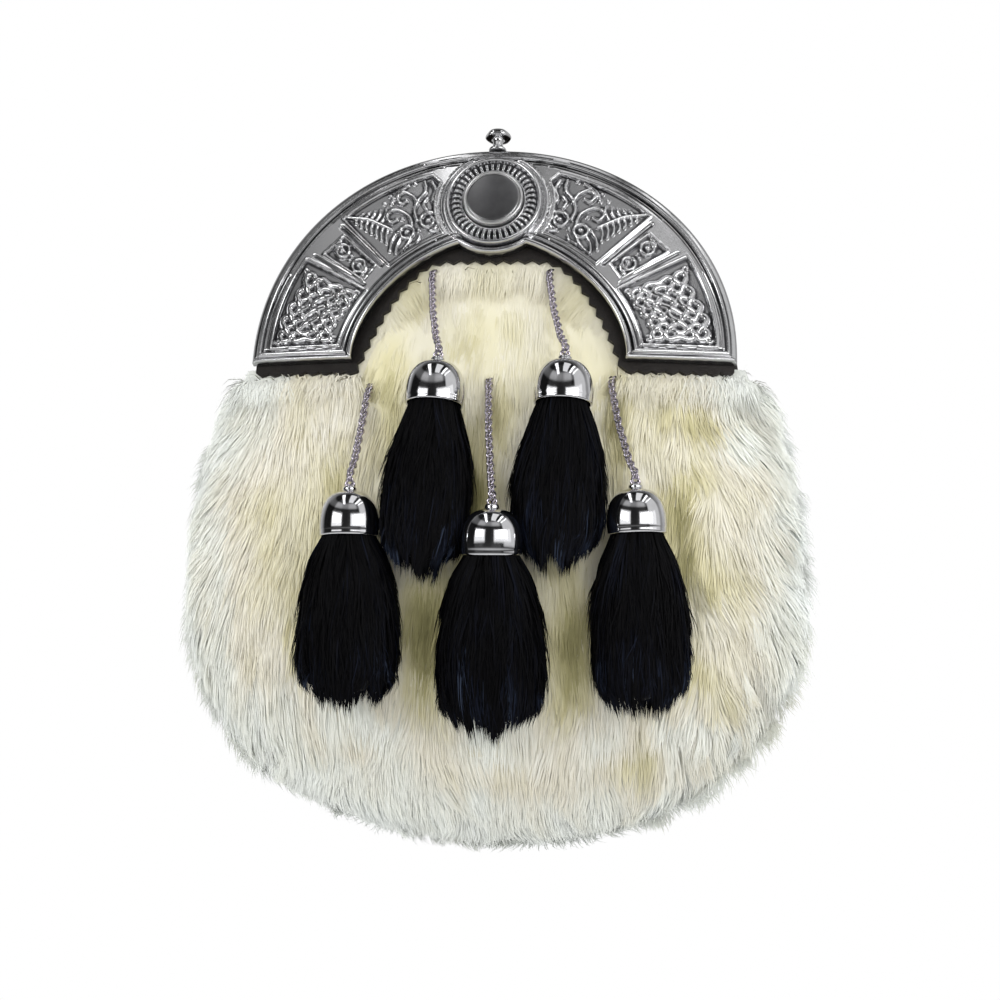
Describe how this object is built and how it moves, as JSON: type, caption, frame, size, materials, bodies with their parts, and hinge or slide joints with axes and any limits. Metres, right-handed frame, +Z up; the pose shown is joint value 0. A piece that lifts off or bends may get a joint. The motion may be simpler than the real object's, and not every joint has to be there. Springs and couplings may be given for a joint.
{
  "type": "sporran pouch",
  "caption": "Full-dress belt pouch: open leather bag behind a deep white fur front, arched chrome cantle with a round boss and knob, black fur tassels on short chains.",
  "frame": {"origin": "middle of the waist strap's path, midway between the two loops on the back", "axes": "+Z up, -Y towards the front with the cantle and tassels, +X to the right of someone who looks at the front"},
  "size_m": [0.191, 0.0922, 0.222],
  "materials": {
    "chrome": "polished, with dark in the recesses of the relief",
    "chain_metal": "bright fine links",
    "white_fur": "long white fur, cream towards the middle",
    "black_fur": "long black fur",
    "leather": "black, fine grain"
  },
  "bodies": {
    "root": {"pouch": "leather", "fur_front": "white_fur", "cantle_backing": "leather", "cantle": "chrome", "centre_boss": "chrome", "knob": "chrome", "chain_upper_left": "chain_metal", "chain_upper_right": "chain_metal", "chain_lower_left": "chain_metal", "chain_centre": "chain_metal", "chain_lower_right": "chain_metal", "bell_upper_left": "chrome", "bell_upper_right": "chrome", "bell_lower_left": "chrome", "bell_centre": "chrome", "bell_lower_right": "chrome", "tassel_upper_left": "black_fur", "tassel_upper_right": "black_fur", "tassel_lower_left": "black_fur", "tassel_centre": "black_fur", "tassel_lower_right": "black_fur", "belt_loop_left": "leather", "belt_loop_right": "leather"}
  },
  "joints": []
}
